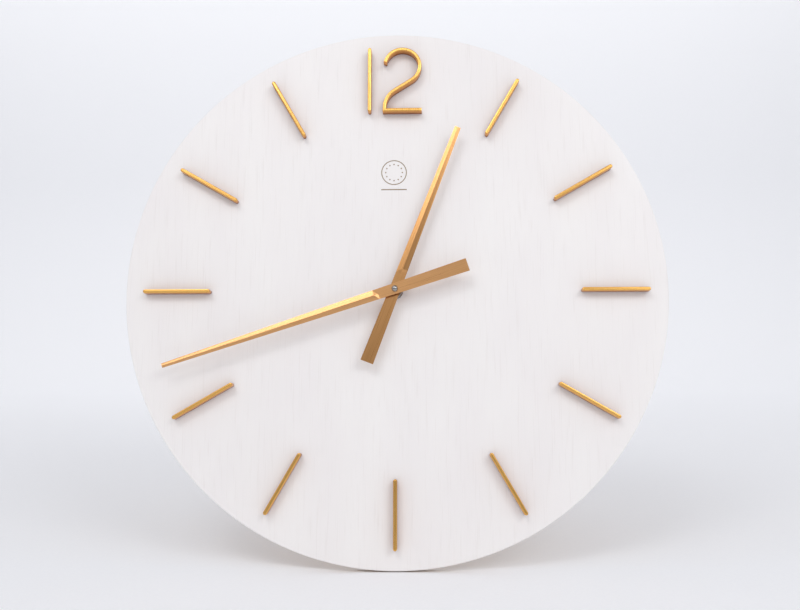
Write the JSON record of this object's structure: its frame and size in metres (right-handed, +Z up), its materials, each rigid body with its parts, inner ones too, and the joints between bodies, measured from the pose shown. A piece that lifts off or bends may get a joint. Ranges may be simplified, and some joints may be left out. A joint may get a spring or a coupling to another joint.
{
  "type": "wall clock",
  "caption": "Round white wood-grain wall clock with raised gold bar hour marks, a thin-stroke numeral, folded pointer hands and a battery quartz movement behind the dial.",
  "frame": {"origin": "the nail that the clock hangs on: where the top of the hanger slot meets the wall plane", "axes": "+Z up the wall towards twelve, +Y into the wall, so the dial faces -Y, and +X to the right of someone who looks at the dial"},
  "size_m": [0.6, 0.0462, 0.6],
  "materials": {
    "white_veneer": "white lacquer over open-grain veneer, satin",
    "fibreboard": "sawn and sanded, matt",
    "gold_bar": "gold anodised, brushed satin",
    "hand_sheet": "champagne gold anodised, satin",
    "brass": "turned",
    "bright_nickel": "bright nickel plated",
    "rubber": "moulded, matt",
    "case_plastic": "moulded, fine texture",
    "chip_epoxy": "cast blob, satin",
    "wheel_plastic": "moulded, satin",
    "knob_plastic": "moulded, satin",
    "magnet": "sintered, matt",
    "core_steel": "stamped sheet",
    "bobbin_plastic": "moulded",
    "copper_wire": "enamelled, wound",
    "circuit_laminate": "solder mask",
    "zinc_steel": "stamped, zinc plated",
    "battery_sleeve": "printed sleeve, gloss"
  },
  "bodies": {
    "clock_body": {"bush_nut": "bright_nickel", "bush_washer": "bright_nickel", "circuit_board": "circuit_laminate", "clock_chip": "chip_epoxy", "coil_bobbin": "bobbin_plastic", "coil_core": "core_steel", "coil_winding": "copper_wire", "contact_minus": "zinc_steel", "contact_plus": "zinc_steel", "dial_board": "fibreboard", "dial_veneer": "white_veneer", "hanger_plate": "zinc_steel", "hanger_screw_1": "zinc_steel", "hanger_screw_2": "zinc_steel", "hour_baton_01": "gold_bar", "hour_baton_02": "gold_bar", "hour_baton_03": "gold_bar", "hour_baton_04": "gold_bar", "hour_baton_05": "gold_bar", "hour_baton_06": "gold_bar", "hour_baton_07": "gold_bar", "hour_baton_08": "gold_bar", "hour_baton_09": "gold_bar", "hour_baton_10": "gold_bar", "hour_baton_11": "gold_bar", "movement_case": "case_plastic", "movement_cover": "case_plastic", "movement_gasket": "rubber", "numeral_one": "gold_bar", "numeral_two": "gold_bar", "quartz_crystal": "bright_nickel", "stator": "core_steel", "train_bridge": "case_plastic", "wall_bumper_left": "rubber", "wall_bumper_right": "rubber", "wall_bumper_top": "rubber"},
    "minute_group": {"minute_arbor": "brass", "minute_hand": "hand_sheet", "minute_hand_bush": "brass", "hand_nut": "bright_nickel"},
    "hour_group": {"hour_wheel": "wheel_plastic", "hour_hand": "hand_sheet", "hour_hand_bush": "brass"},
    "motion_group": {"motion_wheel": "wheel_plastic"},
    "knob_group": {"set_knob": "knob_plastic"},
    "centre_group": {"centre_wheel": "wheel_plastic"},
    "third_group": {"third_wheel": "wheel_plastic"},
    "second_group": {"second_wheel": "wheel_plastic"},
    "first_group": {"first_wheel": "wheel_plastic"},
    "rotor_group": {"rotor": "wheel_plastic", "rotor_magnet": "magnet"},
    "battery_group": {"battery": "battery_sleeve"}
  },
  "joints": [
    {"name": "minute_turn", "type": "hinge", "parent": "clock_body", "child": "minute_group", "pos_m": [0, -0.0143, -0.2], "axis": [0, 1, 0], "continuous": true},
    {"name": "hour_turn", "type": "hinge", "parent": "clock_body", "child": "hour_group", "pos_m": [0, -0.0157, -0.2], "axis": [0, 1, 0], "continuous": true},
    {"name": "motion_turn", "type": "hinge", "parent": "clock_body", "child": "motion_group", "pos_m": [-0.00677, -0.0143, -0.19754], "axis": [0, 1, 0], "continuous": true},
    {"name": "knob_turn", "type": "hinge", "parent": "clock_body", "child": "knob_group", "pos_m": [-0.01397, -0.0143, -0.19754], "axis": [0, 1, 0], "continuous": true},
    {"name": "rotor_turn", "type": "hinge", "parent": "clock_body", "child": "rotor_group", "pos_m": [-0.00499, -0.012, -0.18494], "axis": [0, 1, 0], "continuous": true},
    {"name": "first_turn", "type": "hinge", "parent": "clock_body", "child": "first_group", "pos_m": [0.00003, -0.0094, -0.18538], "axis": [0, 1, 0], "continuous": true},
    {"name": "second_turn", "type": "hinge", "parent": "clock_body", "child": "second_group", "pos_m": [0.00579, -0.0106, -0.18538], "axis": [0, 1, 0], "continuous": true},
    {"name": "third_turn", "type": "hinge", "parent": "clock_body", "child": "third_group", "pos_m": [0.00729, -0.0118, -0.19389], "axis": [0, 1, 0], "continuous": true},
    {"name": "centre_turn", "type": "hinge", "parent": "clock_body", "child": "centre_group", "pos_m": [0, -0.013, -0.2], "axis": [0, 1, 0], "continuous": true},
    {"name": "battery_slide", "type": "slide", "parent": "clock_body", "child": "battery_group", "axis": [0, 1, 0], "range_m": [0, 0.02]}
  ],
  "couplings": [
    {"joint": "motion_turn", "follows": "minute_turn", "ratio": -0.33333},
    {"joint": "hour_turn", "follows": "minute_turn", "ratio": 0.083333},
    {"joint": "knob_turn", "follows": "minute_turn", "ratio": 1},
    {"joint": "first_turn", "follows": "rotor_turn", "ratio": -0.16667},
    {"joint": "second_turn", "follows": "rotor_turn", "ratio": 0.033333},
    {"joint": "third_turn", "follows": "rotor_turn", "ratio": -0.0041667},
    {"joint": "centre_turn", "follows": "rotor_turn", "ratio": 0.00055556}
  ]
}
